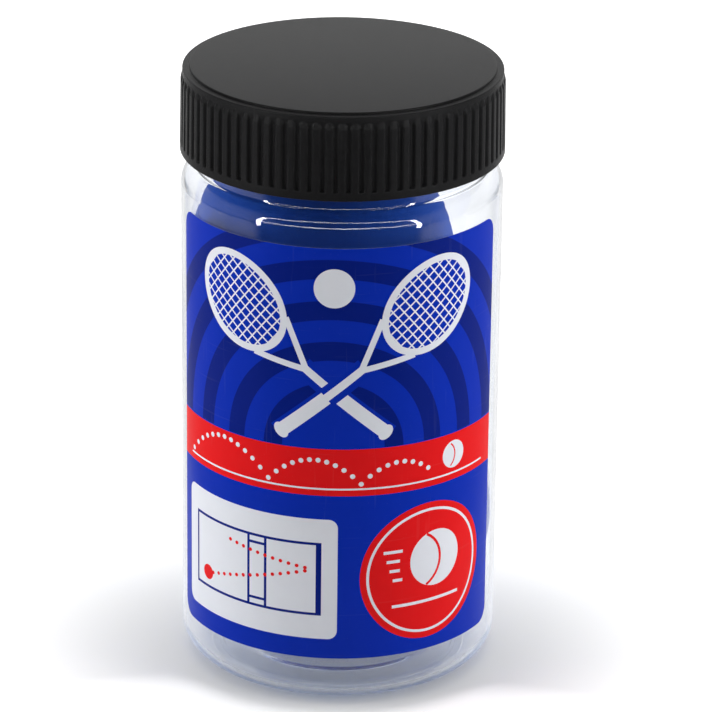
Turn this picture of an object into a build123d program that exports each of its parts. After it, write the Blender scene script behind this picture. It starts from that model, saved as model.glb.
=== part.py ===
from build123d import *
import math
import os

# A clear screw-top jar with a ribbed cap and a printed front label, holding two hollow rubber balls
# one on top of the other. Millimetres, +Z up. The origin is the middle of the stand ring, on the
# surface that the jar stands on, and the middle of the label faces -Y.

# Balls: two moulded half shells each, cemented at a seam
BALL_DIAMETER = 57.0
BALL_WALL = 4.1
SEAM_CHAMFER = 0.3
UPPER_SEAM_TILT = 24.0
LOWER_SEAM_TILT = -38.0
BALL_GAP = 0.3

# Jar: neck, shoulder, wall, heel and push-up base in one thin moulding
MOUTH_CLEARANCE = 1.2
NECK_WALL = 1.3
NECK_HEIGHT = 18.9
LIP_ROUND = 0.4
NECK_FILLET = 1.2
NECK_FILLET_SHARE = 0.3
SHOULDER_STEP = 3.0
SHOULDER_ANGLE = 35.0
SHOULDER_RADIUS = 4.0
SHOULDER_RADIUS_SHARE = 0.6
SHOULDER_WALL = 1.9
JAR_WALL = 0.9
HEEL_RADIUS = 6.4
STAND_RING_WIDTH = 2.5
PUSH_UP_HEIGHT = 2.4
PUSH_UP_SLOPE = 3.0
PUSH_UP_ROUND = 2.0
BASE_THICKNESS = 1.2
HEADSPACE = 12.3

# Label: a film wrapped round the front of the wall
LABEL_WIDTH = 84.0
LABEL_FOOT_MARGIN = 4.7
LABEL_HEAD_MARGIN = 3.0
LABEL_CORNER = 3.5
LABEL_THICKNESS = 0.10
ADHESIVE_THICKNESS = 0.02

# Cap: a ribbed skirt, a plain foot band, a ring that steps in above the ribs and a raised disc on top
THREAD_ROOM = 1.5
CAP_WALL = 1.05
CAP_SKIRT = 15.9
SKIRT_DRAFT = 0.7
CAP_TOP_THICKNESS = 1.1
RING_HEIGHT = 1.15
RING_STEP = 0.36
RING_FLARE = 0.4
RING_EDGE_ROUND = 0.25
DISC_RISE = 0.5
DISC_INSET = 1.5
DISC_ROUND = 0.25
FOOT_CHAMFER = 0.3
FOOT_BAND = 1.8
RIB_COUNT = 80
RIB_DEPTH = 0.5
GROOVE_WIDTH = 0.9
GROOVE_HEAD_GAP = 0.15
GROOVE_RUN_OUT = 1.6

# Liner: a foam wad pressed between the lip and the cap's top
LINER_THICKNESS = 1.0
LINER_CLEARANCE = 0.4

# Radii, each from the one that it fits
ball_radius = BALL_DIAMETER / 2
bore_radius = ball_radius + MOUTH_CLEARANCE
neck_radius = bore_radius + NECK_WALL
jar_radius = neck_radius + SHOULDER_STEP
inner_radius = jar_radius - JAR_WALL
cap_bore_radius = neck_radius + THREAD_ROOM
skirt_radius = cap_bore_radius + CAP_WALL
rib_radius = skirt_radius + RIB_DEPTH
ring_radius = rib_radius - RING_STEP
liner_radius = cap_bore_radius - LINER_CLEARANCE

# Where the balls lie: the lower one against the right of the wall, the upper one against the left
floor_height = PUSH_UP_HEIGHT + BASE_THICKNESS
lean = inner_radius - ball_radius - BALL_GAP
stack_rise = math.sqrt((BALL_DIAMETER + BALL_GAP) ** 2 - (2 * lean) ** 2)
lower_centre = Vector(lean, 0, floor_height + BALL_GAP + ball_radius)
upper_centre = lower_centre + Vector(-2 * lean, 0, stack_rise)

# Heights, from the stack of balls up. The shoulder's two roundings share the room that its slope has
lip_height = upper_centre.Z + ball_radius + HEADSPACE
neck_root_height = lip_height - NECK_HEIGHT
shoulder_slope = math.tan(math.radians(SHOULDER_ANGLE))
shoulder_height = neck_root_height - SHOULDER_STEP * shoulder_slope
shoulder_turn = math.tan(math.radians(90 - SHOULDER_ANGLE) / 2)
shoulder_room = SHOULDER_STEP / math.cos(math.radians(SHOULDER_ANGLE)) / shoulder_turn
shoulder_radius = min(SHOULDER_RADIUS, SHOULDER_RADIUS_SHARE * shoulder_room)
neck_fillet = min(NECK_FILLET, NECK_FILLET_SHARE * shoulder_room)
wall_top_height = shoulder_height - shoulder_radius * shoulder_turn
cap_foot_height = lip_height - CAP_SKIRT
cap_ceiling_height = lip_height + LINER_THICKNESS
cap_edge_height = cap_ceiling_height + CAP_TOP_THICKNESS
rib_head_height = cap_edge_height - RING_HEIGHT - RING_FLARE


def revolved(points, radii):
    """Turn a closed outline of (radius, height) points about Z, each corner rounded by its own radius."""
    outline = FilletPolyline(*[(r, 0, z) for r, z in points], radius=radii, close=True)
    return revolve(make_face(outline), Axis.Z)


def make_half_shell():
    """One half of a ball, dome up, with a bevelled outer rim that makes the seam's V groove."""
    inner = ball_radius - BALL_WALL
    rim_radius = math.sqrt(ball_radius**2 - SEAM_CHAMFER**2)
    rim_angle = math.degrees(math.asin(SEAM_CHAMFER / ball_radius))
    dome = CenterArc((0, 0), ball_radius, rim_angle, 90 - rim_angle)
    hollow = CenterArc((0, 0), inner, 0, 90)
    rim = Polyline((inner, 0), (rim_radius - SEAM_CHAMFER, 0), (rim_radius, SEAM_CHAMFER))
    crown = Line((0, inner), (0, ball_radius))
    profile = Plane.XZ * make_face([dome, hollow, rim, crown])
    return revolve(profile, Axis.Z)


def make_ball(name, centre, seam_tilt):
    """The two half shells of one ball, with its seam tilted about Y as the ball came to rest."""
    place = Pos(*centre) * Rot(0, seam_tilt, 0)
    half = make_half_shell()
    return {
        f"{name}_top_half": place * half,
        f"{name}_bottom_half": place * Rot(180, 0, 0) * half,
    }


def make_jar():
    """The jar's outline runs up the outside from the push-up base to the lip, and down the inside."""
    stand_radius = jar_radius - HEEL_RADIUS - STAND_RING_WIDTH
    panel_radius = stand_radius - PUSH_UP_SLOPE
    base_lean = BASE_THICKNESS * math.tan(math.atan2(PUSH_UP_HEIGHT, PUSH_UP_SLOPE) / 2)
    inner_drop = SHOULDER_WALL / math.cos(math.radians(SHOULDER_ANGLE))
    inner_shoulder = shoulder_height - inner_drop + JAR_WALL * shoulder_slope
    inner_root = shoulder_height - inner_drop + (jar_radius - bore_radius) * shoulder_slope
    corners = [
        ((0, PUSH_UP_HEIGHT), 0),
        ((panel_radius, PUSH_UP_HEIGHT), PUSH_UP_ROUND),
        ((stand_radius, 0), PUSH_UP_ROUND),
        ((jar_radius, 0), HEEL_RADIUS),
        ((jar_radius, shoulder_height), shoulder_radius),
        ((neck_radius, neck_root_height), neck_fillet),
        ((neck_radius, lip_height), LIP_ROUND),
        ((bore_radius, lip_height), LIP_ROUND),
        ((bore_radius, inner_root), neck_fillet),
        ((inner_radius, inner_shoulder), shoulder_radius - JAR_WALL),
        ((inner_radius, BASE_THICKNESS), HEEL_RADIUS - JAR_WALL),
        ((stand_radius + base_lean, BASE_THICKNESS), PUSH_UP_ROUND),
        ((panel_radius + base_lean, floor_height), PUSH_UP_ROUND),
        ((0, floor_height), 0),
    ]
    return revolved([point for point, radius in corners], [radius for point, radius in corners])


def make_label():
    """A band of film on the wall, cut to the label's width, with its four corners rounded."""
    film_inside = jar_radius + ADHESIVE_THICKNESS
    film_outside = film_inside + LABEL_THICKNESS
    foot = HEEL_RADIUS + LABEL_FOOT_MARGIN
    head = wall_top_height - LABEL_HEAD_MARGIN
    half_angle = math.degrees(LABEL_WIDTH / film_outside / 2)
    corner_angle = half_angle - math.degrees(LABEL_CORNER / film_outside)
    strip = Plane.XZ * Polyline((film_inside, foot), (film_outside, foot), (film_outside, head),
                                (film_inside, head), close=True)
    film = Rot(0, 0, -half_angle) * revolve(make_face(strip), Axis.Z, 2 * half_angle)
    corner_block = Box(2 * film_outside, 2 * LABEL_CORNER, 2 * LABEL_CORNER, align=(Align.MIN,) * 3)
    corner_waste = corner_block - Rot(0, 90, 0) * Cylinder(LABEL_CORNER, 5 * film_outside)
    for centre_height, turn in ((head - LABEL_CORNER, 0), (foot + LABEL_CORNER, -90)):
        waste = Rot(0, 0, corner_angle) * Pos(0, 0, centre_height) * Rot(turn, 0, 0) * corner_waste
        film -= [waste, mirror(waste, Plane.XZ)]
    return Rot(0, 0, -90) * film


def make_groove():
    """The space between two ribs, whose bottom runs out to the ribs' crests at its head."""
    head = rib_head_height - GROOVE_HEAD_GAP
    foot = cap_foot_height + FOOT_BAND
    run_out_corner = (skirt_radius, 0, head - GROOVE_RUN_OUT)
    past_the_crest = (skirt_radius + 2 * RIB_DEPTH, 0, head + GROOVE_RUN_OUT)
    outline = Polyline((skirt_radius, 0, foot), run_out_corner, past_the_crest,
                       (skirt_radius + 2 * RIB_DEPTH, 0, foot), close=True)
    return extrude(make_face(outline), GROOVE_WIDTH / 2, dir=(0, 1, 0), both=True)


def make_cap():
    """A turned cup with a little draft, and a pattern of grooves that leaves the ribs standing."""
    disc_radius = ring_radius - DISC_INSET
    disc_height = cap_edge_height + DISC_RISE
    draft = math.tan(math.radians(SKIRT_DRAFT)) * (rib_head_height - cap_foot_height)
    corners = [
        ((0, disc_height), 0),
        ((disc_radius, disc_height), DISC_ROUND),
        ((disc_radius, cap_edge_height), 0),
        ((ring_radius, cap_edge_height), RING_EDGE_ROUND),
        ((ring_radius, cap_edge_height - RING_HEIGHT), 0),
        ((rib_radius, rib_head_height), RING_FLARE / 2),
        ((rib_radius + draft, cap_foot_height), FOOT_CHAMFER),
        ((cap_bore_radius, cap_foot_height), FOOT_CHAMFER),
        ((cap_bore_radius, cap_ceiling_height), 0),
        ((0, cap_ceiling_height), 0),
    ]
    cup = revolved([point for point, radius in corners], [radius for point, radius in corners])
    groove = make_groove()
    return cup - [spot * groove for spot in PolarLocations(0, RIB_COUNT)]


def make_liner():
    """A disc that lies on the lip and under the cap's top."""
    return Pos(0, 0, lip_height) * Cylinder(
        liner_radius, LINER_THICKNESS, align=(Align.CENTER, Align.CENTER, Align.MIN)
    )


nodes = {
    "jar": make_jar(),
    "front_label": make_label(),
    "cap_liner": make_liner(),
    "cap": make_cap(),
    **make_ball("lower_ball", lower_centre, LOWER_SEAM_TILT),
    **make_ball("upper_ball", upper_centre, UPPER_SEAM_TILT),
}

os.makedirs("parts", exist_ok=True)
for node_name, solid in nodes.items():
    export_step(solid, f"parts/{node_name}.step")

print(f"jar {2 * jar_radius:.1f} across, lip at {lip_height:.2f}, cap foot at {cap_foot_height:.2f}")
print(f"lower ball at {lower_centre}, upper ball at {upper_centre}")
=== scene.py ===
# %% [markdown]
# # A clear jar with two rubber balls
# The object is a clear plastic jar with a black screw cap and a printed label on its front. Two hollow
# rubber balls lie inside, one on top of the other. A measured CAD frame gives every size and place, so the
# work here is the part that CAD leaves out: soft edges, screw threads, print, and the way that each
# material takes the light.

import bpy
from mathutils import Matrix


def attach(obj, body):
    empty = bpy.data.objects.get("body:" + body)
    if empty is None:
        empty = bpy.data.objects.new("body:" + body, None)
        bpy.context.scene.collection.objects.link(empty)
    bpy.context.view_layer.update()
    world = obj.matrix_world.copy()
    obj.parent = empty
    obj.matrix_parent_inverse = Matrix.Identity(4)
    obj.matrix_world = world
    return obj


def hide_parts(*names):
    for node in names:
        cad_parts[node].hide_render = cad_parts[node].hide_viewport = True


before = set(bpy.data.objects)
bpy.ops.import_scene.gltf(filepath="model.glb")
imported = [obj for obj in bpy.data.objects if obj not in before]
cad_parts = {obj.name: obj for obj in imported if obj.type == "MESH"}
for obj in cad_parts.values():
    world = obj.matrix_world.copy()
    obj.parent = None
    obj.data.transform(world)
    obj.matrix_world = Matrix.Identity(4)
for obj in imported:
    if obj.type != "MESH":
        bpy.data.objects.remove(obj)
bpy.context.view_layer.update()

# %% Bring in the tools
import math

import bpy
from mathutils import Matrix, Vector
from mathutils.geometry import delaunay_2d_cdt

MM = 0.001
scene = bpy.context.scene
scene.view_settings.view_transform = "Standard"

# %% [markdown]
# ## The camera
# The photograph looks down on the jar from well back, so upright lines lean in only a little. A long lens
# far away gives that view, where a short lens close by would make the cap look too large. The camera is
# put together from its place, the point it looks at and a small roll.

# %% Set up the camera
FRAME_WIDTH = 712
FOCAL_LENGTH = 4536.7
camera_place = Vector((36.2, -902.2, 428.0)) * MM
camera_aim = Vector((3.34, 0.13, 66.58)) * MM
camera_roll = math.radians(0.663)

lens = bpy.data.cameras.new("studio_camera")
lens.sensor_width = 36.0
lens.lens = lens.sensor_width * FOCAL_LENGTH / FRAME_WIDTH
camera = bpy.data.objects.new("studio_camera", lens)
scene.collection.objects.link(camera)
gaze = (camera_aim - camera_place).to_track_quat("-Z", "Y").to_matrix().to_4x4()
camera.matrix_world = Matrix.Translation(camera_place) @ gaze @ Matrix.Rotation(camera_roll, 4, "Z")
scene.camera = camera
print(f"lens {lens.lens:.0f} mm, {(camera_aim - camera_place).length:.2f} m away")

# %% [markdown]
# ## Turned shapes
# Jar, cap, wad and balls are all round, so each is half an outline turned about an axis. Blender has a
# Screw modifier for that. Writing the rings out in code does the same and also lets a function push each
# point in or out, which is how the ribs and the screw threads stay part of one closed skin.

# %% Round off an outline
def rounded_outline(corners, arc_step=math.radians(7)):
    """Points along an outline of (radius, height, rounding) corners, with an arc at each rounded corner."""
    points = []
    for index, (radius, height, rounding) in enumerate(corners):
        corner = Vector((radius, height))
        if rounding == 0:
            points.append(corner)
            continue
        back = (Vector(corners[index - 1][:2]) - corner).normalized()
        ahead = (Vector(corners[index + 1][:2]) - corner).normalized()
        turn = math.pi - back.angle(ahead)
        centre = corner + (back + ahead).normalized() * (rounding / math.cos(turn / 2))
        spoke = corner + back * (rounding * math.tan(turn / 2)) - centre
        side = 1 if back.cross(ahead) < 0 else -1
        steps = max(2, math.ceil(turn / arc_step))
        for step in range(steps + 1):
            points.append(centre + Matrix.Rotation(side * turn * step / steps, 2) @ spoke)
    return points


sample = rounded_outline([(0, 0, 0), (10, 0, 2), (10, 5, 0)])
print("a 2 mm corner becomes", len(sample), "points, ending at", tuple(sample[-2]))

# %% Add rings where a wall needs fine detail
def with_rings(points, low, high, gap):
    """The same outline with more points on walls that lie between two (radius, height) corners of a box."""
    finer = [points[0]]
    for start, end in zip(points, points[1:]):
        upright = abs(start.y - end.y) > max(gap, 3 * abs(start.x - end.x))
        if upright:
            count = math.ceil(abs(end.y - start.y) / gap)
            for step in range(1, count):
                point = start.lerp(end, step / count)
                if low[0] < point.x < high[0] and low[1] < point.y < high[1]:
                    finer.append(point)
        finer.append(end)
    return finer


print("with rings every half millimetre:", len(with_rings(sample, (9, 0), (11, 5), 0.5)), "points")

# %% Turn an outline into a closed skin
def turned(name, outline, angles, push=None):
    """A closed mesh from an outline that runs from axis to axis; push(angle, radius, height) moves points."""
    vertices, rings = [], []
    for radius, height in outline:
        first = len(vertices)
        if radius < 1e-6:
            vertices.append((0, 0, height * MM))
        else:
            for angle in angles:
                reach = (radius + (push(angle, radius, height) if push else 0)) * MM
                vertices.append((reach * math.cos(angle), reach * math.sin(angle), height * MM))
        rings.append(range(first, len(vertices)))
    faces = []
    for low, high in zip(rings, rings[1:]):
        for here in range(len(angles)):
            after = (here + 1) % len(angles)
            foot = [low[here % len(low)], low[after % len(low)]]
            head = [high[after % len(high)], high[here % len(high)]]
            faces.append(list(dict.fromkeys(foot + head)))
    mesh = bpy.data.meshes.new(name)
    mesh.from_pydata(vertices, [], faces)
    mesh.validate()
    return mesh


def even_angles(count):
    """Evenly spaced directions round the axis, in radians."""
    return [2 * math.pi * step / count for step in range(count)]


print("one step of 144 round the axis is", math.degrees(even_angles(144)[1]), "degrees")

# %% Dress a mesh as a piece of the frame
def add_piece(mesh, materials, body, nodes, sharp=40):
    """Show a mesh in place of CAD nodes, riding on their body, smooth but for edges over the sharp angle."""
    mesh.polygons.foreach_set("use_smooth", [True] * len(mesh.polygons))
    if sharp:
        mesh.set_sharp_from_angle(angle=math.radians(sharp))
    for material in materials:
        mesh.materials.append(material)
    piece = bpy.data.objects.new(mesh.name, mesh)
    scene.collection.objects.link(piece)
    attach(piece, body)
    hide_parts(*nodes)
    print(f"{piece.name}: {len(mesh.vertices)} points, {len(mesh.polygons)} faces, on {body}")


# %% [markdown]
# ## Finishes that several materials share
# Moulded plastic, rubber, foam and print all vary a little from place to place, and all get hair scratches
# and specks of dust. Copying those nodes into every material would work, but then a change has to be made
# many times over. A node group is built once and placed in each material with its own values.

# %% A short way to add nodes and groups
def node(tree, kind, **settings):
    """Add a node; keys that name an input set its value, and the others are the node's own properties."""
    made = tree.nodes.new("ShaderNode" + kind)
    for key, value in settings.items():
        if key in made.inputs:
            made.inputs[key].default_value = value
        else:
            setattr(made, key, value)
    return made


def new_group(name, inputs, outputs):
    """An empty shader node group with named sockets: its tree, and its input and output nodes."""
    tree = bpy.data.node_groups.new(name, "ShaderNodeTree")
    for socket, kind, start in inputs:
        made = tree.interface.new_socket(socket, in_out="INPUT", socket_type="NodeSocket" + kind)
        made.default_value = start
    for socket, kind in outputs:
        tree.interface.new_socket(socket, in_out="OUTPUT", socket_type="NodeSocket" + kind)
    return tree, tree.nodes.new("NodeGroupInput"), tree.nodes.new("NodeGroupOutput")


# %% Sums and smooth steps between sockets
def combine(tree, operation, *values):
    """One Math node; each value is a socket to link or a plain number."""
    made = node(tree, "Math", operation=operation)
    for socket, value in zip(made.inputs, values):
        if isinstance(value, (int, float)):
            socket.default_value = value
        else:
            tree.links.new(value, socket)
    return made.outputs[0]


def ramp(tree, value, first, last):
    """A smooth step of a socket's value; each end is a pair, where it lies and the level there."""
    step = node(tree, "MapRange", interpolation_type="SMOOTHSTEP")
    for socket, number in zip(("From Min", "To Min", "From Max", "To Max"), (*first, *last)):
        step.inputs[socket].default_value = number
    tree.links.new(value, step.inputs["Value"])
    return step.outputs["Result"]


# %% Group 1: mottled grain
FINE_GRAIN = 9.0


def make_grain():
    """Soft mottling between two shades, with roughness that follows it and a fine height for bumps."""
    inputs = [("Scale", "Float", 200.0), ("Shade A", "Color", (0.4, 0.4, 0.4, 1)),
              ("Shade B", "Color", (0.5, 0.5, 0.5, 1)), ("Roughness", "Float", 0.4), ("Spread", "Float", 0.1)]
    outputs = [("Colour", "Color"), ("Roughness", "Float"), ("Height", "Float")]
    tree, taken, given = new_group("mottled_grain", inputs, outputs)
    place = node(tree, "TexCoord")
    cloud = node(tree, "TexNoise", Detail=5.0, Roughness=0.6)
    grain = node(tree, "TexNoise", Detail=3.0, Roughness=0.5)
    shade = node(tree, "Mix", data_type="RGBA")
    join = tree.links.new
    join(place.outputs["Object"], cloud.inputs["Vector"])
    join(place.outputs["Object"], grain.inputs["Vector"])
    join(taken.outputs["Scale"], cloud.inputs["Scale"])
    join(combine(tree, "MULTIPLY", taken.outputs["Scale"], FINE_GRAIN), grain.inputs["Scale"])
    join(cloud.outputs["Fac"], shade.inputs["Factor"])
    join(taken.outputs["Shade A"], shade.inputs["A"])
    join(taken.outputs["Shade B"], shade.inputs["B"])
    swing = combine(tree, "SUBTRACT", cloud.outputs["Fac"], 0.5)
    rough = combine(tree, "MULTIPLY_ADD", swing, taken.outputs["Spread"], taken.outputs["Roughness"])
    join(shade.outputs["Result"], given.inputs["Colour"])
    join(rough, given.inputs["Roughness"])
    join(grain.outputs["Fac"], given.inputs["Height"])
    return tree


grain_group = make_grain()
print("group", grain_group.name, "gives", [item.name for item in grain_group.interface.items_tree
                                           if item.in_out == "OUTPUT"])

# %% Group 2: handling marks
SCRATCH_LAYS = (((0.3, 0.2, 0.5), (1.0, 1.0, 24.0)), ((0.9, -0.4, 0.1), (22.0, 1.0, 1.0)))
FINE_SPECKS = 12.0


def make_marks():
    """Hair scratches in two directions and a few specks, as one mask."""
    tree, taken, given = new_group("handling_marks", [("Scale", "Float", 60.0), ("Amount", "Float", 0.5)],
                                   [("Mask", "Float")])
    place = node(tree, "TexCoord")
    join = tree.links.new
    scratches = []
    for turn, stretch in SCRATCH_LAYS:
        lay = node(tree, "Mapping", Rotation=turn, Scale=stretch)
        streak = node(tree, "TexNoise", Detail=2.0, Roughness=0.4)
        join(place.outputs["Object"], lay.inputs["Vector"])
        join(lay.outputs["Vector"], streak.inputs["Vector"])
        join(taken.outputs["Scale"], streak.inputs["Scale"])
        scratches.append(ramp(tree, streak.outputs["Fac"], (0.66, 0.0), (0.74, 1.0)))
    speck = node(tree, "TexVoronoi")
    join(place.outputs["Object"], speck.inputs["Vector"])
    join(combine(tree, "MULTIPLY", taken.outputs["Scale"], FINE_SPECKS), speck.inputs["Scale"])
    dots = ramp(tree, speck.outputs["Distance"], (0.11, 0.0), (0.06, 1.0))
    marks = combine(tree, "MAXIMUM", combine(tree, "MAXIMUM", *scratches), dots)
    join(combine(tree, "MULTIPLY", marks, taken.outputs["Amount"]), given.inputs["Mask"])
    return tree


marks_group = make_marks()
print("group", marks_group.name, "has", len(marks_group.nodes), "nodes")

# %% One recipe for every opaque finish
MARK_SCALE = 55.0
MARK_ROUGHNESS = 0.25
GRAIN_DEPTH = 0.0002


def opaque_finish(name, shade_a, shade_b, scale, roughness, spread, bump, marks, mark_colour, gloss=0.5):
    """A Principled material fed by the grain group, with handling marks over it."""
    material = bpy.data.materials.new(name)
    material.use_nodes = True
    tree = material.node_tree
    join = tree.links.new
    skin = tree.nodes["Principled BSDF"]
    skin.inputs["Specular IOR Level"].default_value = gloss
    grain = node(tree, "Group", node_tree=grain_group)
    for socket, value in (("Scale", scale), ("Shade A", (*shade_a, 1)), ("Shade B", (*shade_b, 1)),
                          ("Roughness", roughness), ("Spread", spread)):
        grain.inputs[socket].default_value = value
    wear = node(tree, "Group", node_tree=marks_group)
    wear.inputs["Scale"].default_value = MARK_SCALE
    wear.inputs["Amount"].default_value = marks
    worn = node(tree, "Mix", data_type="RGBA")
    worn.inputs["B"].default_value = (*mark_colour, 1)
    relief = node(tree, "Bump", Strength=bump, Distance=GRAIN_DEPTH)
    mask = wear.outputs["Mask"]
    join(grain.outputs["Colour"], worn.inputs["A"])
    join(mask, worn.inputs["Factor"])
    join(worn.outputs["Result"], skin.inputs["Base Color"])
    rough = combine(tree, "MULTIPLY_ADD", mask, MARK_ROUGHNESS, grain.outputs["Roughness"])
    join(rough, skin.inputs["Roughness"])
    join(grain.outputs["Height"], relief.inputs["Height"])
    join(relief.outputs["Normal"], skin.inputs["Normal"])
    return material


# %% [markdown]
# ## The jar
# The jar is blown from clear plastic: a straight wall under a millimetre thick, a rounded shoulder, a
# thicker neck with a screw thread, and a base pushed up in the middle so that it stands on a ring. A Solidify
# modifier on a thin sheet would give one thickness all over. The real wall isn't even, so the outline here
# runs up the outside and back down the inside, and light bends at both faces as it does in the real jar.

# %% Shape of the screw thread
THREAD_PITCH, THREAD_TURNS, THREAD_FADE = 4.2, 1.3, 0.07
THREAD_HALF_WIDTH, THREAD_HEIGHT, THREAD_STEEPNESS = 1.0, 1.1, 1.5
NECK_THREAD_FOOT = 120.0


def smooth_step(value):
    """Ease from 0 to 1."""
    value = min(max(value, 0.0), 1.0)
    return value * value * (3 - 2 * value)


def screw_ridge(angle, height, foot):
    """How much of a right-hand screw ridge stands at a point of a wall, from 0 to 1, faded at both ends."""
    share = 0.0
    for lap in range(math.ceil(THREAD_TURNS)):
        along = angle / (2 * math.pi) + lap
        off_crest = abs(height - foot - THREAD_PITCH * along)
        ends = min(along, THREAD_TURNS - along) / THREAD_FADE
        flank = smooth_step(THREAD_STEEPNESS * (1 - off_crest / THREAD_HALF_WIDTH))
        share = max(share, flank * smooth_step(ends))
    return share


quarter_turn = screw_ridge(math.pi / 2, NECK_THREAD_FOOT + THREAD_PITCH / 4, NECK_THREAD_FOOT)
print("share of the ridge on its crest, a quarter turn up:", quarter_turn)

# %% Sizes of the jar
BORE_RADIUS, NECK_RADIUS, WALL_RADIUS, INSIDE_RADIUS = 29.7, 31.0, 34.0, 33.1
LIP_HEIGHT, NECK_ROOT, SHOULDER = 129.851, 110.951, 108.850
LIP_ROUND, ROOT_ROUND, SHOULDER_ROUND, INNER_SHOULDER_ROUND = 0.4, 1.2, 4.0, 3.1
HEEL_ROUND, INNER_HEEL_ROUND, HEEL_FLOOR = 6.4, 5.5, 1.2
PUSH_UP, FLOOR_HEIGHT, PUSH_UP_RADIUS, STAND_RADIUS, STEP_ROUND = 2.4, 3.6, 22.1, 25.1, 2.0
INNER_STEP_SHIFT = 0.42
GATE_RADIUS, GATE_EDGE, GATE_DEPTH = 1.5, 2.1, 0.5

shoulder_slope = (NECK_ROOT - SHOULDER) / (WALL_RADIUS - NECK_RADIUS)
shoulder_turn = math.pi / 2 - math.atan(shoulder_slope)
inner_shoulder = SHOULDER - (WALL_RADIUS - INSIDE_RADIUS) * math.tan(shoulder_turn / 2)
inner_root = inner_shoulder + (INSIDE_RADIUS - BORE_RADIUS) * shoulder_slope
print("the shoulder slopes at", round(math.degrees(math.atan(shoulder_slope)), 1), "degrees")

# %% Outline of the jar
NECK_THREAD_LOW, NECK_THREAD_HIGH, NECK_RING_GAP = 118.0, 128.0, 0.3

jar_outline = rounded_outline([
    (0, PUSH_UP - GATE_DEPTH, 0), (GATE_RADIUS, PUSH_UP - GATE_DEPTH, 0.3), (GATE_EDGE, PUSH_UP, 0.25),
    (PUSH_UP_RADIUS, PUSH_UP, STEP_ROUND), (STAND_RADIUS, 0, STEP_ROUND), (WALL_RADIUS, 0, HEEL_ROUND),
    (WALL_RADIUS, SHOULDER, SHOULDER_ROUND), (NECK_RADIUS, NECK_ROOT, ROOT_ROUND),
    (NECK_RADIUS, LIP_HEIGHT, LIP_ROUND), (BORE_RADIUS, LIP_HEIGHT, LIP_ROUND),
    (BORE_RADIUS, inner_root, ROOT_ROUND), (INSIDE_RADIUS, inner_shoulder, INNER_SHOULDER_ROUND),
    (INSIDE_RADIUS, HEEL_FLOOR, INNER_HEEL_ROUND), (STAND_RADIUS + INNER_STEP_SHIFT, HEEL_FLOOR, STEP_ROUND),
    (PUSH_UP_RADIUS + INNER_STEP_SHIFT, FLOOR_HEIGHT, STEP_ROUND), (0, FLOOR_HEIGHT, 0),
])
thread_low, thread_high = (NECK_RADIUS - 0.1, NECK_THREAD_LOW), (NECK_RADIUS + 0.1, NECK_THREAD_HIGH)
jar_outline = with_rings(jar_outline, thread_low, thread_high, NECK_RING_GAP)
print("jar outline:", len(jar_outline), "points, thinnest wall", round(WALL_RADIUS - INSIDE_RADIUS, 2), "mm")

# %% Turn the jar
def neck_thread(angle, radius, height):
    """The neck's outer face swells into the screw thread."""
    on_neck = abs(radius - NECK_RADIUS) < 1e-4
    return THREAD_HEIGHT * screw_ridge(angle, height, NECK_THREAD_FOOT) if on_neck else 0.0


jar_mesh = turned("clear_jar", jar_outline, even_angles(256), neck_thread)
print("jar:", len(jar_mesh.polygons), "faces")

# %% [markdown]
# ## Clear plastic
# Glass in Cycles is a Principled surface with full transmission. It casts a full dark shadow unless light
# is traced through it, which is slow and grainy. The usual trick is used here: for shadow rays, the surface
# turns into a tinted transparent film, which shades more where light crosses the wall at a slant. Rays that
# have bounced three times inside the wall are let out the same way, because Cycles soon gives up on them,
# and that would leave a black line along the heel. The shoulder and neck under the cap are tinted greyer
# than the wall as painted shade from the cap, and a slow wave in the surface gives the uneven, drawn-out
# highlights that blown walls have.

# %% Clear jar material
# The second tint is painted shade: from the shoulder up, under the cap, the plastic is drawn greyer than the
# wall.
WALL_TINT, CAP_SHADE_TINT = (0.960, 0.972, 0.988, 1), (0.875, 0.890, 0.915, 1)
CAP_SHADE_FROM, CAP_SHADE_TO = 0.104, 0.110
FILM_FACING, FILM_SLANTED = (0.93, 0.95, 0.98, 1), (0.60, 0.68, 0.82, 1)
BOUNCES_INSIDE = 2.5
CLEAN_ROUGHNESS, MARKED_ROUGHNESS = 0.015, 0.16


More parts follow.
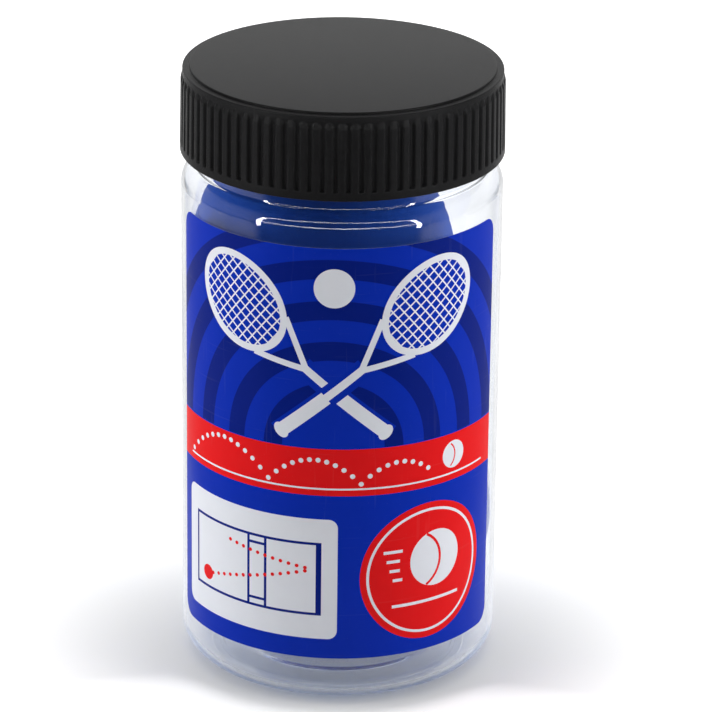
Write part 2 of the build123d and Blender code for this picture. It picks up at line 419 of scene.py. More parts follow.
def clear_plastic():
    """Clear plastic with a slow wave and a few marks, and a tinted film for shadows and trapped rays."""
    material = bpy.data.materials.new("clear_blown_plastic")
    material.use_nodes = True
    tree = material.node_tree
    join = tree.links.new
    skin = tree.nodes["Principled BSDF"]
    skin.inputs["IOR"].default_value = 1.57
    skin.inputs["Transmission Weight"].default_value = 1.0

    place = node(tree, "TexCoord")
    split = node(tree, "SeparateXYZ")
    # Painted shade: greyer from the shoulder up, where the cap shades the neck.
    tint = node(tree, "Mix", data_type="RGBA")
    tint.inputs["A"].default_value = WALL_TINT
    tint.inputs["B"].default_value = CAP_SHADE_TINT
    join(place.outputs["Object"], split.inputs[0])
    join(ramp(tree, split.outputs["Z"], (CAP_SHADE_FROM, 0.0), (CAP_SHADE_TO, 1.0)), tint.inputs["Factor"])
    join(tint.outputs["Result"], skin.inputs["Base Color"])

    waves = node(tree, "TexNoise", Scale=38.0, Detail=1.0, Roughness=0.4)
    relief = node(tree, "Bump", Strength=0.20, Distance=0.0006)
    join(place.outputs["Object"], waves.inputs["Vector"])
    join(waves.outputs["Fac"], relief.inputs["Height"])
    join(relief.outputs["Normal"], skin.inputs["Normal"])

    wear = node(tree, "Group", node_tree=marks_group)
    wear.inputs["Scale"].default_value = 40.0
    wear.inputs["Amount"].default_value = 0.35
    rough = node(tree, "MapRange")
    rough.inputs["To Min"].default_value = CLEAN_ROUGHNESS
    rough.inputs["To Max"].default_value = MARKED_ROUGHNESS
    join(wear.outputs["Mask"], rough.inputs["Value"])
    join(rough.outputs["Result"], skin.inputs["Roughness"])

    slant = node(tree, "LayerWeight", Blend=0.35)
    shade = node(tree, "Mix", data_type="RGBA")
    shade.inputs["A"].default_value = FILM_FACING
    shade.inputs["B"].default_value = FILM_SLANTED
    film = node(tree, "BsdfTransparent")
    join(slant.outputs["Fresnel"], shade.inputs["Factor"])
    join(shade.outputs["Result"], film.inputs["Color"])

    rays = node(tree, "LightPath")
    blend = node(tree, "MixShader")
    trapped = combine(tree, "GREATER_THAN", rays.outputs["Glossy Depth"], BOUNCES_INSIDE)
    join(combine(tree, "MAXIMUM", trapped, rays.outputs["Is Shadow Ray"]), blend.inputs["Fac"])
    join(skin.outputs["BSDF"], blend.inputs[1])
    join(film.outputs["BSDF"], blend.inputs[2])
    join(blend.outputs["Shader"], tree.nodes["Material Output"].inputs["Surface"])
    return material


add_piece(jar_mesh, [clear_plastic()], "jar", ["jar"])

# %% [markdown]
# ## The balls
# Each ball is two moulded rubber cups cemented together, so a fine groove runs round it at the seam. A UV
# sphere would miss the seam and the hollow. Each cup is its own turned shell with a bevelled rim, tipped to
# the angle at which the ball came to rest.

# %% One cup of a ball
BALL_RADIUS, BALL_WALL, SEAM_BEVEL, SEAM_LIP = 28.5, 4.1, 0.3, 0.08


def dome(radius, from_angle, to_angle, steps):
    """Points along an arc round the ball's middle, by their angle above the seam."""
    rise = [from_angle + (to_angle - from_angle) * step / steps for step in range(steps + 1)]
    return [Vector((radius * math.cos(angle), radius * math.sin(angle))) for angle in rise]


seam_angle = math.asin(SEAM_BEVEL / BALL_RADIUS)
rim_radius = BALL_RADIUS * math.cos(seam_angle)
hollow = dome(BALL_RADIUS - BALL_WALL, math.pi / 2, 0, 24)
bevel = [Vector((rim_radius - SEAM_BEVEL, 0)), Vector((rim_radius - SEAM_LIP, SEAM_BEVEL * 0.8))]
outer_skin = dome(BALL_RADIUS, seam_angle, math.pi / 2, 48)
cup_outline = hollow + bevel + outer_skin
print("cup outline:", len(cup_outline), "points, rim", round(rim_radius, 2), "mm")

# %% Matt blue rubber
ball_rubber = opaque_finish("matt_blue_rubber", (0.024, 0.105, 0.560), (0.030, 0.125, 0.630), scale=160.0,
                            roughness=0.55, spread=0.16, bump=0.35, marks=0.20,
                            mark_colour=(0.12, 0.22, 0.62), gloss=0.15)
print("ball finish:", ball_rubber.name)

# %% Set both balls in the jar
BALLS = (("lower_ball", Vector((4.3, 0, 32.4)), -38.0), ("upper_ball", Vector((-4.3, 0, 89.051)), 24.0))

for ball, middle, tilt in BALLS:
    rest = Matrix.Translation(middle * MM) @ Matrix.Rotation(math.radians(tilt), 4, "Y")
    for half, flip in (("top", 0.0), ("bottom", math.pi)):
        cup = turned(f"{ball}_{half}_cup", cup_outline, even_angles(144))
        cup.transform(rest @ Matrix.Rotation(flip, 4, "X"))
        add_piece(cup, [ball_rubber], ball, [f"{ball}_{half}_half"])

# %% [markdown]
# ## The cap
# The cap is moulded in black plastic: a raised disc on top, a plain ring, a skirt of upright grip ribs that
# stand a little proud of the ring, and a plain band at the foot. Boolean cuts would leave knife edges, and a
# bevel on that many of them often breaks. Here the ring of points is spaced to suit one rib, repeated 80
# times, and a function sinks the grooves, so every rib has soft shoulders and a rounded head that slopes
# down to the ring. The same function raises the thread inside.

# %% Points round the cap
CAP_FOOT, CAP_CEILING, CAP_EDGE, CAP_TOP = 113.951, 130.851, 131.951, 132.451
CAP_BORE, GROOVE_RADIUS, RIB_RADIUS, FOOT_RADIUS = 32.5, 33.55, 34.05, 34.24
RING_RADIUS, DISC_RADIUS = 33.69, 32.19
RING_FOOT, RIB_HEADS, GROOVE_FOOT, GROOVE_RUN_OUT = 130.801, 129.301, 115.751, 0.3
RIB_COUNT = 80
RIB_PITCH = 2 * math.pi * RIB_RADIUS / RIB_COUNT
RIB_HALF_WIDTH, RIB_ROUND = RIB_PITCH / 2 - 0.45, 0.60

groove_stations = [0.0, 0.15, 0.28, 0.41, 0.54, 0.68, 0.86, 1.09]
groove_stations = [-station for station in reversed(groove_stations[1:])] + groove_stations + [RIB_PITCH / 2]
rib_angles = []
for rib in range(RIB_COUNT):
    rib_angles += [2 * math.pi * (rib + station / RIB_PITCH) / RIB_COUNT for station in groove_stations]
rib_angles = [angle % (2 * math.pi) for angle in rib_angles]
print(len(rib_angles), "points round the cap,", len(groove_stations), "to a rib")

# %% Ribs and inside thread
CAP_THREAD_FOOT = NECK_THREAD_FOOT - THREAD_PITCH / 2


def cap_relief(angle, radius, height):
    """Sinks the grip grooves into the skirt and raises the screw thread on the bore."""
    if abs(radius - CAP_BORE) < 1e-4:
        return -THREAD_HEIGHT * screw_ridge(angle, height, CAP_THREAD_FOOT)
    if radius < GROOVE_RADIUS or height > RING_FOOT:
        return 0.0
    share = angle * RIB_COUNT / (2 * math.pi)
    off_rib = RIB_PITCH / 2 - abs(share - round(share)) * RIB_PITCH
    head = min(max((height - RIB_HEADS) / (RING_FOOT - RIB_HEADS), 0.0), 1.0)
    half_width = RIB_HALF_WIDTH * math.sqrt(1 - head * head)
    groove = smooth_step((off_rib - half_width + RIB_ROUND / 2) / RIB_ROUND)
    bottom = GROOVE_RADIUS + (RING_RADIUS - GROOVE_RADIUS) * head
    return -(radius - bottom) * groove * smooth_step((height - GROOVE_FOOT) / GROOVE_RUN_OUT)


print("a groove's depth halfway up:", round(-cap_relief(0.0, RIB_RADIUS, (CAP_FOOT + CAP_TOP) / 2), 2), "mm")

# %% Turn the cap
CAP_THREAD_LOW, CAP_THREAD_HIGH = 116.4, 124.8
BORE_RING_GAP, HEAD_RING_GAP, FOOT_RING_GAP = 0.45, 0.18, 0.12

cap_outline = rounded_outline([
    (0, CAP_CEILING, 0), (CAP_BORE, CAP_CEILING, 0.25), (CAP_BORE, CAP_FOOT, 0.3),
    (FOOT_RADIUS, CAP_FOOT, 0.3), (RIB_RADIUS, RIB_HEADS, 0.8), (RING_RADIUS, RING_FOOT, 0.12),
    (RING_RADIUS, CAP_EDGE, 0.25), (DISC_RADIUS, CAP_EDGE, 0.12), (DISC_RADIUS, CAP_TOP, 0.25),
    (0, CAP_TOP, 0),
], arc_step=math.radians(20))
for low, high, gap in (
    ((CAP_BORE - 0.1, CAP_THREAD_LOW), (CAP_BORE + 0.1, CAP_THREAD_HIGH), BORE_RING_GAP),
    ((GROOVE_RADIUS, RIB_HEADS - 0.5), (FOOT_RADIUS, RING_FOOT), HEAD_RING_GAP),
    ((GROOVE_RADIUS, GROOVE_FOOT - 0.2), (FOOT_RADIUS, GROOVE_FOOT + 0.5), FOOT_RING_GAP),
):
    cap_outline = with_rings(cap_outline, low, high, gap)
cap_mesh = turned("ribbed_cap", cap_outline, rib_angles, cap_relief)
print("cap outline:", len(cap_outline), "points")

# %% Black moulded plastic
cap_plastic = opaque_finish("black_moulded_plastic", (0.010, 0.010, 0.0105), (0.015, 0.015, 0.016),
                            scale=900.0, roughness=0.34, spread=0.10, bump=0.30, marks=0.08,
                            mark_colour=(0.05, 0.05, 0.05), gloss=0.080)
add_piece(cap_mesh, [cap_plastic], "cap", ["cap"], sharp=50)

# %% [markdown]
# ## The sealing wad
# Under the cap's top lies a thin disc of foam that the jar's lip presses on. It only shows with the cap
# off. Its edge is soft, and the bubbles of the foam show as small dimples.

# %% Foam wad
WAD_RADIUS, WAD_ROUND = 32.1, 0.3

wad_outline = rounded_outline([(0, LIP_HEIGHT, 0), (WAD_RADIUS, LIP_HEIGHT, WAD_ROUND),
                               (WAD_RADIUS, CAP_CEILING, WAD_ROUND), (0, CAP_CEILING, 0)])
wad_foam = opaque_finish("white_foam", (0.74, 0.74, 0.71), (0.82, 0.82, 0.80), scale=500.0,
                         roughness=0.75, spread=0.15, bump=0.9, marks=0.15, mark_colour=(0.60, 0.60, 0.57))
wad_mesh = turned("foam_wad", wad_outline, even_angles(144))
add_piece(wad_mesh, [wad_foam], "liner", ["cap_liner"])

# %% [markdown]
# ## The printed label
# The label is a thin film wrapped round the front of the jar. Its print could be an image, but an image has a
# fixed sharpness. Here every printed shape is cut into the film's own mesh, flat first, and then the film
# is wrapped round the wall, so each edge stays crisp at any distance and each ink is a material.

# %% Sizes of the label
LABEL_RADIUS, LABEL_THICKNESS = 34.12, 0.10
LABEL_WIDTH, LABEL_FOOT, LABEL_HEAD, LABEL_CORNER = 84.0, 11.1, 103.768, 3.5
half_width = LABEL_WIDTH / 2
degrees_round = math.degrees(LABEL_WIDTH / LABEL_RADIUS)
print(f"label {LABEL_WIDTH} by {LABEL_HEAD - LABEL_FOOT:.1f} mm, {degrees_round:.0f} degrees round")

# %% Panels and strokes
def panel(left, foot, right, head, corner=0.0):
    """A block, with rounded corners if a corner radius is given."""
    if corner == 0:
        return [(left, foot), (right, foot), (right, head), (left, head)]
    points = []
    for x, y, start in ((right - corner, foot + corner, -90), (right - corner, head - corner, 0),
                        (left + corner, head - corner, 90), (left + corner, foot + corner, 180)):
        for step in range(9):
            angle = math.radians(start + step * 90 / 8)
            points.append((x + corner * math.cos(angle), y + corner * math.sin(angle)))
    return points


def strip(start, end, width):
    """A straight stroke between two points."""
    start, end = Vector(start), Vector(end)
    side = (end - start).orthogonal().normalized() * width / 2
    return [tuple(start - side), tuple(end - side), tuple(end + side), tuple(start + side)]


print("a panel with rounded corners has", len(panel(0, 0, 10, 10, 2)), "points")

# %% Ovals and curved bands
def oval(x, y, across, along, tilt=0.0):
    """An ellipse by its two half sizes; the second lies along the tilt, which is clockwise from upright."""
    count = max(16, int(14 * math.sqrt(across + along)))
    shape = []
    for angle in even_angles(count):
        wide, tall = across * math.cos(angle), along * math.sin(angle)
        shape.append((x + wide * math.cos(tilt) + tall * math.sin(tilt),
                      y - wide * math.sin(tilt) + tall * math.cos(tilt)))
    return shape


def arc_band(x, y, radius, width, start, end):
    """A curved band of even width, between two angles in degrees."""
    count = max(8, int(abs(end - start) * radius / 60))
    turns = [math.radians(start + (end - start) * step / count) for step in range(count + 1)]
    far, near = radius + width / 2, radius - width / 2
    outer = [(x + far * math.cos(turn), y + far * math.sin(turn)) for turn in turns]
    inner = [(x + near * math.cos(turn), y + near * math.sin(turn)) for turn in turns]
    return outer + inner[::-1]


print("a circle of 10 mm radius has", len(oval(0, 0, 10, 10)), "points")

# %% [markdown]
# The design is a plain sport motif: two crossed rackets and a ball on a blue ground with darker rings, a red
# stripe with a bouncing ball, a red roundel, and a white panel with the plan of a court. Shapes that come
# later lie over earlier ones, as inks do on a press.

# %% Ground, rings and stripe
STRIPE_FOOT, STRIPE_HEAD = 48.6, 59.2
RING_COUNT, FIRST_RING, RING_GAP, RING_WIDTH = 5, 13.0, 9.0, 4.2

inks = [("blue", panel(-half_width, LABEL_FOOT, half_width, LABEL_HEAD, LABEL_CORNER))]
for ring in range(RING_COUNT):
    inks.append(("navy", arc_band(0, STRIPE_HEAD, FIRST_RING + RING_GAP * ring, RING_WIDTH, 0.5, 179.5)))
inks.append(("red", panel(-half_width - 1, STRIPE_FOOT, half_width + 1, STRIPE_HEAD)))
print(len(inks), "shapes in the ground")

# %% Crossed rackets
RACKET_TILT = math.radians(50)
CROSSING = Vector((0.0, 72.0))
HEAD_ALONG, HEAD_ACROSS, HEAD_RIM = 12.2, 9.4, 1.5
STRING_GAP, STRING_WIDTH = 1.75, 0.32


def draw_strings(middle, run, step_way, half_run, half_step, most):
    """Strings that run one way across a racket's head and end on its oval rim."""
    for string in range(-most, most + 1):
        offset = string * STRING_GAP
        reach = half_run * math.sqrt(1 - (offset / half_step) ** 2)
        knot = middle + step_way * offset
        inks.append(("white", strip(knot - run * reach, knot + run * reach, STRING_WIDTH)))


def draw_racket(side):
    """One racket in white ink: oval head with strings, forked throat, shaft and grip."""
    tilt = side * RACKET_TILT
    ahead = Vector((math.sin(tilt), math.cos(tilt)))
    across = Vector((ahead.y, -ahead.x))
    middle = CROSSING + ahead * 27.5
    throat = CROSSING + ahead * 8.5
    butt = CROSSING - ahead * 14.5
    half_long, half_wide = HEAD_ALONG - HEAD_RIM / 2, HEAD_ACROSS - HEAD_RIM / 2
    inks.append(("blue", strip(throat, butt - ahead, 4.6)))
    for fork in (-1, 1):
        inks.append(("white", strip(throat - ahead, middle - ahead * 9.5 + across * fork * 5.6, 1.3)))
    inks.append(("white", oval(*middle, HEAD_ACROSS, HEAD_ALONG, tilt)))
    inks.append(("blue", oval(*middle, HEAD_ACROSS - HEAD_RIM, HEAD_ALONG - HEAD_RIM, tilt)))
    draw_strings(middle, ahead, across, half_long, half_wide, 4)
    draw_strings(middle, across, ahead, half_wide, half_long, 6)
    inks.append(("white", strip(throat, CROSSING - ahead * 3.0, 1.7)))
    inks.append(("white", strip(CROSSING - ahead * 2.0, butt, 3.0)))
    inks.append(("white", oval(*butt, 1.9, 1.3, tilt)))


for side in (-1, 1):
    draw_racket(side)
inks.append(("white", oval(0, 95.0, 4.3, 4.3)))
print(len(inks), "shapes with the rackets")

# %% Bouncing ball on the stripe
BOUNCES = ((-37.0, -14.0, 6.4), (-14.0, 6.0, 5.4), (6.0, 23.0, 4.3))
DOT_GAP, DOT = 1.9, 0.55
floor_line = STRIPE_FOOT + 2.2
ball_height = floor_line + 3.6

inks.append(("white", panel(-38.0, floor_line - 0.85, 38.0, floor_line - 0.45)))
for start, end, rise in BOUNCES:
    count = round((end - start) / DOT_GAP)
    for step in range(count):
        share = step / count
        height = floor_line + 0.5 + rise * 4 * share * (1 - share)
        inks.append(("white", oval(start + (end - start) * share, height, DOT, DOT)))
inks.append(("white", oval(28.0, ball_height, 3.1, 3.1)))
inks.append(("red", arc_band(25.2, ball_height, 3.2, 0.35, -52, 52)))
print(len(inks), "shapes with the stripe")

# %% Red roundel
ROUNDEL_X, ROUNDEL_Y = 21.5, 29.4

for ink, radius in (("red", 15.6), ("white", 14.2), ("red", 13.6)):
    inks.append((ink, oval(ROUNDEL_X, ROUNDEL_Y, radius, radius)))
inks.append(("white", oval(ROUNDEL_X + 2.0, ROUNDEL_Y + 2.5, 6.4, 6.4)))
inks.append(("red", arc_band(ROUNDEL_X - 3.5, ROUNDEL_Y + 2.5, 6.6, 0.6, -62, 62)))
for row in range(4):
    height = ROUNDEL_Y + 5.6 - row * 2.2
    left = ROUNDEL_X - 10.5 + row * 0.7
    right = ROUNDEL_X - 6.2 - (row in (1, 2)) * 0.6
    inks.append(("white", strip((left, height), (right, height), 0.7)))
inks.append(("white", panel(ROUNDEL_X - 8.5, ROUNDEL_Y - 7.4, ROUNDEL_X + 8.5, ROUNDEL_Y - 6.7)))
print(len(inks), "shapes with the roundel")

# %% White panel with a court plan
COURT_REAR, COURT_LEFT, COURT_WALL, COURT_RIGHT = -35.4, 21.0, -2.2, 37.8
LINE, FRONT_WALL, BOX_DEPTH = 0.6, 1.2, 2.0
short_line = COURT_REAR + 0.500 * (COURT_WALL - COURT_REAR)
service_line = COURT_REAR + 0.625 * (COURT_WALL - COURT_REAR)

inks.append(("white", panel(-38.8, 15.6, 1.2, 43.2, 2.0)))
inks.append(("navy", panel(COURT_REAR, COURT_LEFT, COURT_WALL, COURT_RIGHT)))
inks.append(("white", panel(COURT_REAR + LINE, COURT_LEFT + LINE,
                            COURT_WALL - FRONT_WALL, COURT_RIGHT - LINE)))
for line in (short_line, service_line):
    inks.append(("navy", panel(line - LINE / 2, COURT_LEFT + 0.1, line + LINE / 2, COURT_RIGHT - 0.1)))
for box in (COURT_LEFT + BOX_DEPTH, COURT_RIGHT - BOX_DEPTH):
    inks.append(("navy", panel(short_line, box - LINE / 2, service_line, box + LINE / 2)))
print(len(inks), "shapes with the court")

# %% A rally across the court
RALLY = [Vector((-31.0, 24.6)), Vector((-3.9, 31.6)), Vector((-25.5, 35.0))]
RALLY_DOT, RALLY_BALL = 0.42, 1.7

for start, end in zip(RALLY, RALLY[1:]):
    count = round((end - start).length / DOT_GAP)
    for step in range(1, count):
        inks.append(("red", oval(*start.lerp(end, step / count), RALLY_DOT, RALLY_DOT)))
inks.append(("red", oval(*RALLY[0], RALLY_BALL, RALLY_BALL)))
print(len(inks), "printed shapes in all")

# %% [markdown]
# A constrained Delaunay triangulation takes all those overlapping outlines at once and gives back triangles
# that follow every edge. For each triangle it also says which outlines it lies in, and the last of them is
# the ink that shows. Upright cut lines every few degrees let the film bend round the jar.

# %% Cut the shapes into flat film
BENDS = 56

points, loops = [], []
for ink, shape in inks:
    loops.append(list(range(len(points), len(points) + len(shape))))
    points.extend(Vector(point) for point in shape)
cuts = []
for step in range(1, BENDS):
    x = -half_width + LABEL_WIDTH * step / BENDS
    cuts.append((len(points), len(points) + 1))
    points.extend((Vector((x, LABEL_FOOT - 1)), Vector((x, LABEL_HEAD + 1))))
flat_points, _, triangles, _, _, lies_in = delaunay_2d_cdt(points, cuts, loops, 0, 1e-4)
film = [(triangle, inks[max(shapes)][0]) for triangle, shapes in zip(triangles, lies_in) if 0 in shapes]
print(len(film), "triangles of film from", len(triangles))

# %% Inks
INK_SHADES = {
    "blue": ((0.0012, 0.0260, 0.440), (0.0016, 0.0290, 0.470)),
    "navy": ((0.0010, 0.0125, 0.210), (0.0012, 0.0140, 0.230)),
    "red": ((0.82, 0.0080, 0.0100), (0.86, 0.0100, 0.0120)),
    "white": ((0.82, 0.84, 0.90), (0.86, 0.88, 0.94)),
    "back": ((0.40, 0.48, 0.70), (0.46, 0.54, 0.76)),
}
INK_NAMES = list(INK_SHADES)

ink_materials = []
for ink, shades in INK_SHADES.items():
    ink_materials.append(opaque_finish(f"{ink}_print", *shades, scale=300.0, roughness=0.24, spread=0.08,
                                       bump=0.05, marks=0.015, mark_colour=(0.5, 0.5, 0.52), gloss=0.06))
print("inks:", [material.name for material in ink_materials])

# %% Wrap the film round the wall
def wrapped(point, radius):
    """Where a flat point goes on a round wall: across becomes an angle from the front."""
    angle = point.x / LABEL_RADIUS
    return Vector((radius * math.sin(angle), -radius * math.cos(angle), point.y)) * MM


used = sorted({corner for triangle, ink in film for corner in triangle})
front_of = {corner: index for index, corner in enumerate(used)}
label_points = [wrapped(flat_points[corner], LABEL_RADIUS) for corner in used]
label_points += [wrapped(flat_points[corner], LABEL_RADIUS - LABEL_THICKNESS) for corner in used]
behind = len(used)
label_faces = [[front_of[corner] for corner in triangle] for triangle, ink in film]
label_inks = [INK_NAMES.index(ink) for triangle, ink in film]
front_count = len(label_faces)
print("label front:", front_count, "faces,", behind, "points")

# %% Close the film with a back and an edge
label_faces += [[corner + behind for corner in reversed(face)] for face in label_faces]
open_edges = {}
for face in label_faces[:front_count]:
    for start, end in zip(face, face[1:] + face[:1]):
        if open_edges.pop((end, start), None) is None:
            open_edges[(start, end)] = True
label_faces += [[end, start, start + behind, end + behind] for start, end in open_edges]
label_inks += [INK_NAMES.index("back")] * (len(label_faces) - front_count)
print("label:", len(label_faces), "faces,", len(open_edges), "of them round the edge")

# %% Label mesh with exact normals
label_mesh = bpy.data.meshes.new("printed_label")
label_mesh.from_pydata(label_points, [], label_faces)
label_mesh.polygons.foreach_set("material_index", label_inks)
label_mesh.polygons.foreach_set("use_smooth", [True] * len(label_faces))
label_mesh.update()
film_normals = []
for face in label_mesh.polygons:
    for corner in face.vertices:
        spoke = Vector((*label_points[corner].xy, 0)).normalized()
        flat_side = 1 if face.index < front_count else -1
        film_normals.append(spoke * flat_side if face.index < 2 * front_count else face.normal)
label_mesh.normals_split_custom_set(film_normals)
add_piece(label_mesh, ink_materials, "jar", ["front_label"], sharp=None)

# %% [markdown]
# ## Floor and light
# The photograph was taken in a small light tent: white cloth on both sides, above and behind, with an open
# front towards a dark room. Lamps alone would light the jar, but clear plastic and gloss mostly show what
# they mirror. So the two side walls and the roof are large lamps that light things and aren't mirrored, and
# the edge of the opening is four thin strips that are mirrored and light nothing. Floor and world have one
# look for the camera and for rays through the jar, and a second one, darker in front, for what gloss mirrors.

# %% Floor
FLOOR_HALF = 1.5

floor_mesh = bpy.data.meshes.new("white_sheet")
floor_corners = [(-FLOOR_HALF, -FLOOR_HALF, 0), (FLOOR_HALF, -FLOOR_HALF, 0),
                 (FLOOR_HALF, FLOOR_HALF, 0), (-FLOOR_HALF, FLOOR_HALF, 0)]
floor_mesh.from_pydata(floor_corners, [], [(0, 1, 2, 3)])
floor = bpy.data.objects.new("white_sheet", floor_mesh)
scene.collection.objects.link(floor)
print("floor", 2 * FLOOR_HALF, "m wide")

# %% Tell straight looks from mirrored ones
def looked_at(tree):
    """Masks of rays that look straight or through clear plastic, and of rays that a gloss mirrors."""
    rays = node(tree, "LightPath")
    direct = combine(tree, "MAXIMUM", rays.outputs["Is Camera Ray"], rays.outputs["Is Transmission Ray"])
    glossy = combine(tree, "MAXIMUM", rays.outputs["Is Glossy Ray"], direct)
    unlit = combine(tree, "SUBTRACT", 1, combine(tree, "MINIMUM", rays.outputs["Diffuse Depth"], 1))
    once = combine(tree, "MINIMUM", rays.outputs["Glossy Depth"], 1)
    straight = combine(tree, "MULTIPLY", unlit, combine(tree, "SUBTRACT", 1, once))
    return (combine(tree, "MULTIPLY", direct, straight),
            combine(tree, "MULTIPLY", glossy, combine(tree, "MULTIPLY", unlit, once)))


# %% White sheet
sheet = bpy.data.materials.new("white_sheet")
sheet.use_nodes = True
floor_mesh.materials.append(sheet)
tree = sheet.node_tree
skin = tree.nodes["Principled BSDF"]
skin.inputs["Base Color"].default_value = (0.90, 0.90, 0.90, 1)
skin.inputs["Roughness"].default_value = 0.9
skin.inputs["Specular IOR Level"].default_value = 0.0
skin.inputs["Emission Color"].default_value = (1, 1, 1, 1)
place = node(tree, "TexCoord")
split = node(tree, "SeparateXYZ")
length = node(tree, "VectorMath", operation="LENGTH")
tree.links.new(place.outputs["Object"], split.inputs[0])
tree.links.new(place.outputs["Object"], length.inputs[0])
from_jar, depth = length.outputs["Value"], split.outputs["Y"]
aside = combine(tree, "ABSOLUTE", split.outputs["X"])
seen, mirrored = looked_at(tree)
print("sheet measured in", len(tree.nodes), "nodes")

# %% How pale the sheet looks, straight and mirrored
# Painted light and shade on the sheet: the glow seen straight is weakest round the jar's foot, which deepens
# the shade there, and it grows with distance until the far sheet is white. A painted pool of light in front
# of the jar brightens the floor just past the heel.
painted_glow = ramp(tree, from_jar, (0.036, 0.10), (0.080, 0.42))
front_light_pool = ramp(tree, from_jar, (0.033, 0.0), (0.042, 0.41))
front_light_pool = combine(tree, "MULTIPLY", front_light_pool, ramp(tree, depth, (-0.030, 1.0), (-0.015, 0.0)))
far_glow = ramp(tree, from_jar, (0.15, 0.0), (0.70, 0.60))
painted_glow = combine(tree, "ADD", combine(tree, "MAXIMUM", painted_glow, front_light_pool), far_glow)
seen_glow = combine(tree, "MULTIPLY", painted_glow, seen)
mirrored_glow = combine(tree, "MULTIPLY", mirrored, ramp(tree, depth, (-0.045, 0.04), (-0.005, 0.20)))
tree.links.new(combine(tree, "ADD", seen_glow, mirrored_glow), skin.inputs["Emission Strength"])
print("sheet lit with", len(tree.nodes), "nodes")

# %% Where the sheet ends in mirrors
opening = combine(tree, "ADD", depth, combine(tree, "MULTIPLY", aside, 0.44))
opening = ramp(tree, opening, (-0.09, 1.0), (0.01, 0.0))
ahead = ramp(tree, depth, (-0.12, 1.0), (-0.05, 0.0))
beside = combine(tree, "SUBTRACT", aside, combine(tree, "MULTIPLY", depth, 0.6))
flank = ramp(tree, beside, (0.0, 0.0), (0.10, 0.55))
darkness = combine(tree, "MAXIMUM", combine(tree, "MULTIPLY", opening, ahead), flank)
darkness = combine(tree, "MULTIPLY", darkness, ramp(tree, from_jar, (0.06, 0.0), (0.13, 1.0)))
darkness = combine(tree, "MULTIPLY", darkness, mirrored)
room_floor = node(tree, "Emission", Color=(0.02, 0.02, 0.02, 1))
blend = node(tree, "MixShader")
tree.links.new(darkness, blend.inputs["Fac"])
tree.links.new(skin.outputs["BSDF"], blend.inputs[1])
tree.links.new(room_floor.outputs["Emission"], blend.inputs[2])
tree.links.new(blend.outputs["Shader"], tree.nodes["Material Output"].inputs["Surface"])
print("floor of", len(tree.nodes), "nodes")

# %% World
world = bpy.data.worlds.new("studio")
scene.world = world
world.use_nodes = True
tree = world.node_tree
backdrop = tree.nodes["Background"]
backdrop.inputs["Color"].default_value = (1, 1, 1, 1)
place = node(tree, "TexCoord")
split = node(tree, "SeparateXYZ")
tree.links.new(place.outputs["Generated"], split.inputs[0])
seen, mirrored = looked_at(tree)
inside = combine(tree, "MINIMUM", node(tree, "LightPath").outputs["Transmission Depth"], 1)
sideways = ramp(tree, combine(tree, "ABSOLUTE", split.outputs["X"]), (0.55, 0.0), (0.85, 0.7))
tent = ramp(tree, split.outputs["Y"], (0.25, 0.03), (0.92, 1.0))
tent = combine(tree, "MAXIMUM", tent, combine(tree, "MULTIPLY", inside, sideways))
fill = ramp(tree, split.outputs["Y"], (-0.60, 0.06), (0.40, 0.80))
lighting = combine(tree, "SUBTRACT", 1, combine(tree, "ADD", seen, mirrored))
light = combine(tree, "ADD", seen, combine(tree, "MULTIPLY", mirrored, tent))
light = combine(tree, "ADD", light, combine(tree, "MULTIPLY", lighting, fill))
tree.links.new(light, backdrop.inputs["Strength"])
print("world of", len(tree.nodes), "nodes")

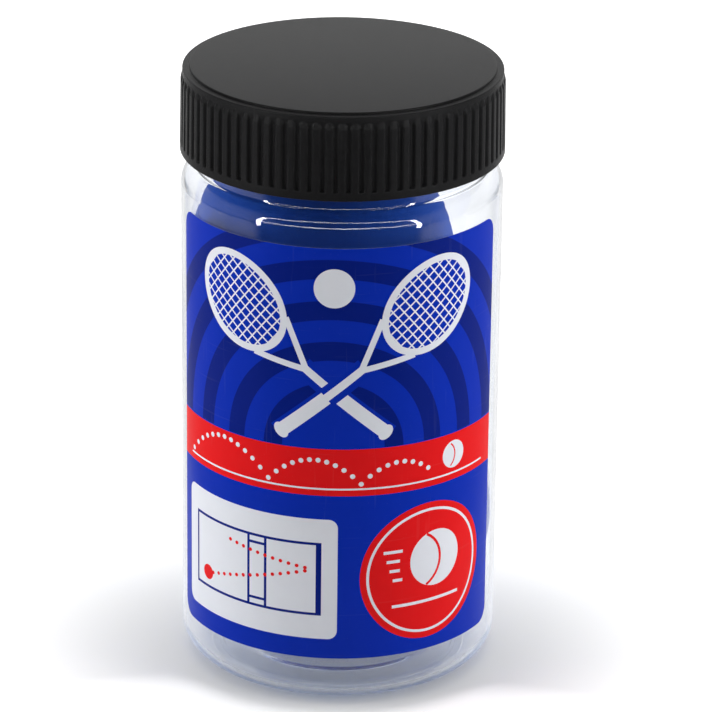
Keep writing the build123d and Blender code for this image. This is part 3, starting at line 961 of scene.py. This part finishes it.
# %% A lamp that lights, or one that is mirrored
def lamp_panel(name, place, aim, wide, high, brightness, mirrored=False):
    """A rectangular lamp of a given brightness, where 1 is white, that either lights or is mirrored."""
    lamp = bpy.data.lights.new(name, "AREA")
    lamp.shape = "RECTANGLE"
    lamp.size, lamp.size_y = wide, high
    lamp.energy = brightness * math.pi * wide * high
    lamp.cycles.use_multiple_importance_sampling = mirrored
    holder = bpy.data.objects.new(name, lamp)
    holder.location = place
    holder.rotation_euler = (Vector(aim) - Vector(place)).to_track_quat("-Z", "Y").to_euler()
    holder.visible_camera = False
    holder.visible_diffuse = not mirrored
    holder.visible_glossy = mirrored
    holder.visible_transmission = False
    if mirrored:
        lamp.use_nodes = True
        tree = lamp.node_tree
        rays = node(tree, "LightPath")
        deep = combine(tree, "ADD", rays.outputs["Diffuse Depth"], rays.outputs["Transmission Depth"])
        outside = combine(tree, "SUBTRACT", 1, combine(tree, "MINIMUM", deep, 1))
        tree.links.new(outside, tree.nodes["Emission"].inputs["Strength"])
    scene.collection.objects.link(holder)
    print(f"{name}: {lamp.energy:.1f} W")


# %% Walls, roof and the edge of the opening
WALL_ASIDE, WALL_AHEAD, WALL_MIDDLE, WALL_WIDTH, WALL_HEIGHT = 0.60, -0.09, 0.28, 0.56, 0.52
ROOF_PLACE, ROOF_AIM, ROOF_WIDTH, ROOF_LENGTH = (0.0, 0.15, 0.95), (0, 0, 0.06), 0.9, 0.7
OPENING_HALF, OPENING_FOOT, OPENING_HEAD, OPENING_AHEAD = 0.44, 0.18, 0.43, -0.30
EDGE_WIDTH = 0.034
WALL_LIGHT, ROOF_LIGHT, UPRIGHT_EDGE_LIGHT, LEVEL_EDGE_LIGHT = 2.75, 1.1, 24.0, 7.0

for side, name in ((-1, "left"), (1, "right")):
    lamp_panel(f"{name}_wall", (side * WALL_ASIDE, WALL_AHEAD, WALL_MIDDLE), (0, WALL_AHEAD, WALL_MIDDLE),
               WALL_WIDTH, WALL_HEIGHT, WALL_LIGHT)
    lamp_panel(f"{name}_edge", (side * OPENING_HALF, OPENING_AHEAD, OPENING_HEAD / 2),
               (0, 0, OPENING_HEAD / 2), EDGE_WIDTH, OPENING_HEAD, UPRIGHT_EDGE_LIGHT, mirrored=True)
lamp_panel("top_wall", ROOF_PLACE, ROOF_AIM, ROOF_WIDTH, ROOF_LENGTH, ROOF_LIGHT)
for name, height in (("head", OPENING_HEAD), ("foot", OPENING_FOOT)):
    lamp_panel(f"{name}_edge", (0.0, OPENING_AHEAD, height), (0, 0, 0.10), 2 * OPENING_HALF, EDGE_WIDTH,
               LEVEL_EDGE_LIGHT, mirrored=True)
